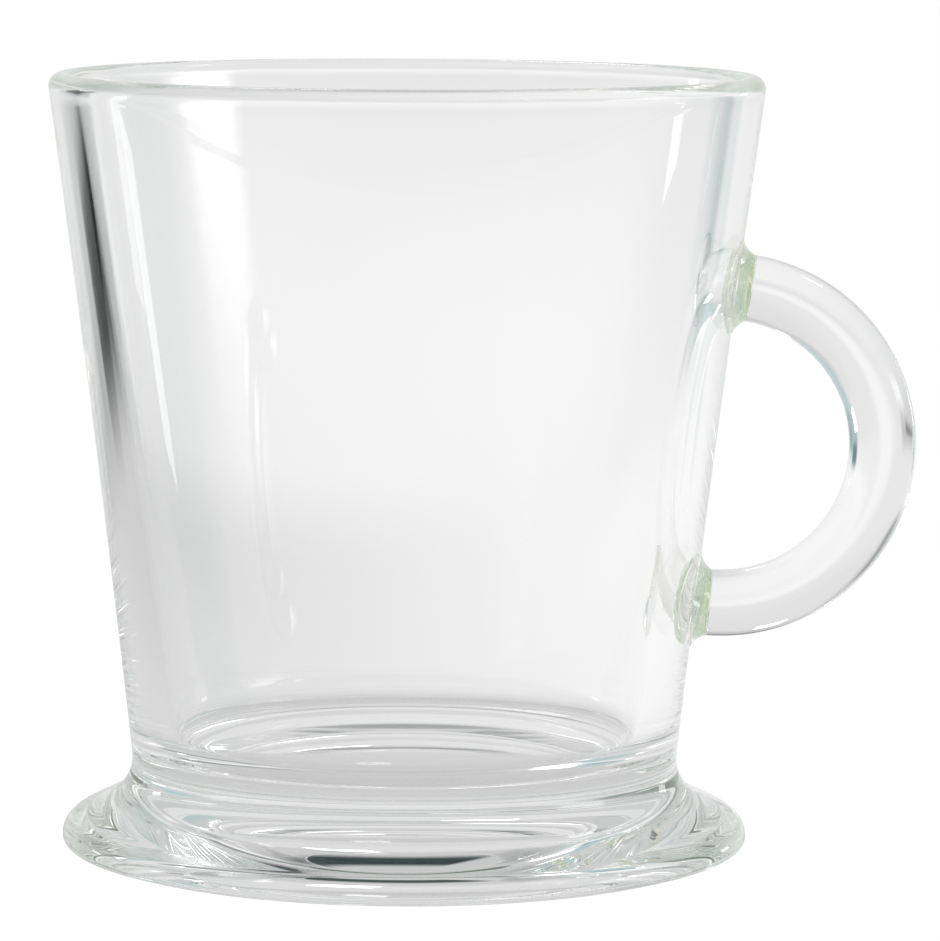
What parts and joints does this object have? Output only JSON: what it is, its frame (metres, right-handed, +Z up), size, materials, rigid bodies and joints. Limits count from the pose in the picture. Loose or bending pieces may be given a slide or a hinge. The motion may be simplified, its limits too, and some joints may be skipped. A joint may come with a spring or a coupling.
{
  "type": "cappuccino cup",
  "caption": "Clear pressed-glass cappuccino cup with a tapered bowl, a flared foot and a round C-shaped handle fused to its side.",
  "frame": {"origin": "on the cup's axis at the table plane, in the middle of the standing ring under the foot", "axes": "+Z up along the cup's axis, +X towards the handle"},
  "size_m": [0.0918, 0.0752, 0.082],
  "materials": {
    "clear_glass": "clear, fire-polished, faintly green in its depth",
    "weld_glass": "clear, fire-polished, yellow-green where the handle is fused on"
  },
  "bodies": {
    "root": {"bowl": "clear_glass", "foot": "clear_glass", "handle": "clear_glass", "upper_handle_pad": "weld_glass", "lower_handle_pad": "weld_glass"}
  },
  "joints": []
}
